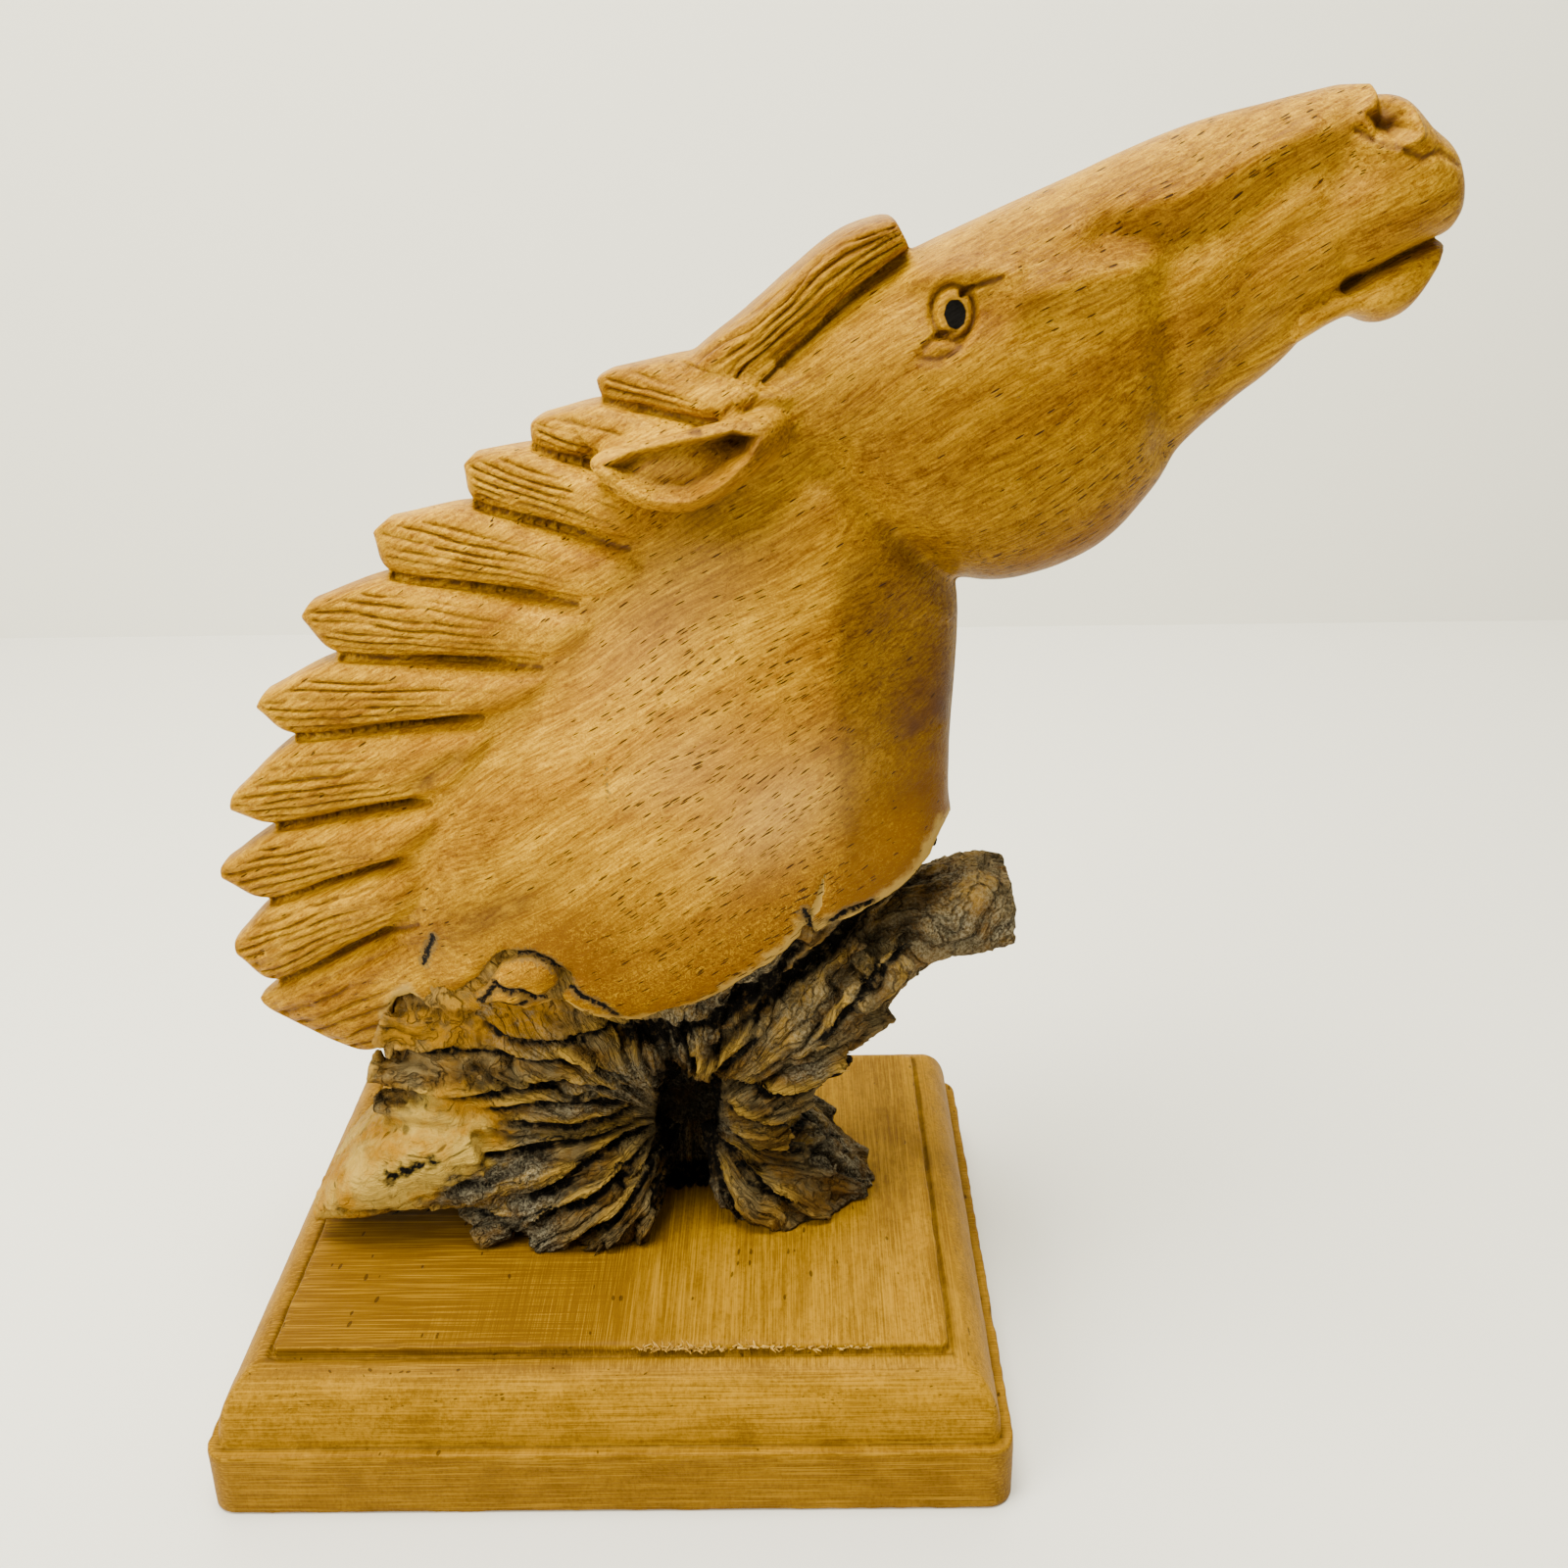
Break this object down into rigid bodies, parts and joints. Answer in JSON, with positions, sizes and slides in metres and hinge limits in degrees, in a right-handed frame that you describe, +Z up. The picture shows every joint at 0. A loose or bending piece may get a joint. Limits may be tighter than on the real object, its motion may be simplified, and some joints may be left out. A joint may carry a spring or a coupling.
{
  "type": "carved wooden horse head sculpture",
  "caption": "Horse head with a stretched neck and a feathered mane, carved from one piece of root wood that stands on a moulded rectangular wooden plinth.",
  "frame": {"origin": "middle of the plinth's flat underside, on the surface that it stands on", "axes": "+Z up, +X towards the side that the muzzle points to, -Y towards the side that the picture shows"},
  "size_m": [0.2674, 0.147, 0.2916],
  "materials": {
    "carved_wood": "polished golden wood over rough grey-brown root",
    "plinth_wood": "waxed, with fine sanding marks"
  },
  "bodies": {
    "root": {"horse_head": "carved_wood", "plinth": "plinth_wood"}
  },
  "joints": []
}
